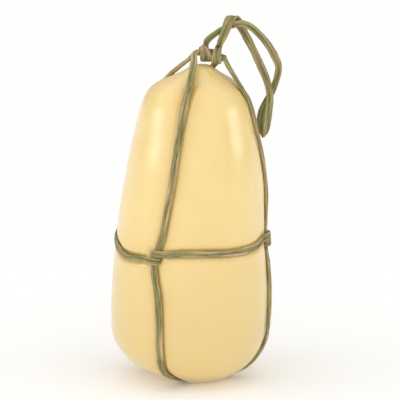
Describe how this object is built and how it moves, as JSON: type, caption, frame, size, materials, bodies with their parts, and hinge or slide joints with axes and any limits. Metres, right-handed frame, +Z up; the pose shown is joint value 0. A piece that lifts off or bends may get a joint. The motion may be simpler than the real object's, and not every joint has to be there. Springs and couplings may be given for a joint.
{
  "type": "tied stretched-curd cheese",
  "caption": "Tall pear-shaped cheese standing on a small flat spot, tied with flat rush cord in two crossed slings, a hitched waist band and a hanging loop.",
  "frame": {"origin": "Middle of the tied cheese's box, without the hanging loop, on the surface that it stands on.", "axes": "+Z up along the cheese's height; the front, with the hitched strand, faces -Y; the hanging loop falls to +X."},
  "size_m": [0.1288, 0.1188, 0.2795],
  "materials": {
    "cheese": "smooth waxy rind, semi-gloss, pale straw yellow",
    "rush": "dry flat rush, dull olive with tan patches",
    "knotted_rush": "dry rush, tan, with dark creases"
  },
  "bodies": {
    "root": {"cheese": "cheese", "front_sling": "rush", "side_sling": "rush", "waist_band": "rush", "waist_knot": "knotted_rush", "top_hitch": "knotted_rush", "hanging_loop": "rush"}
  },
  "joints": []
}
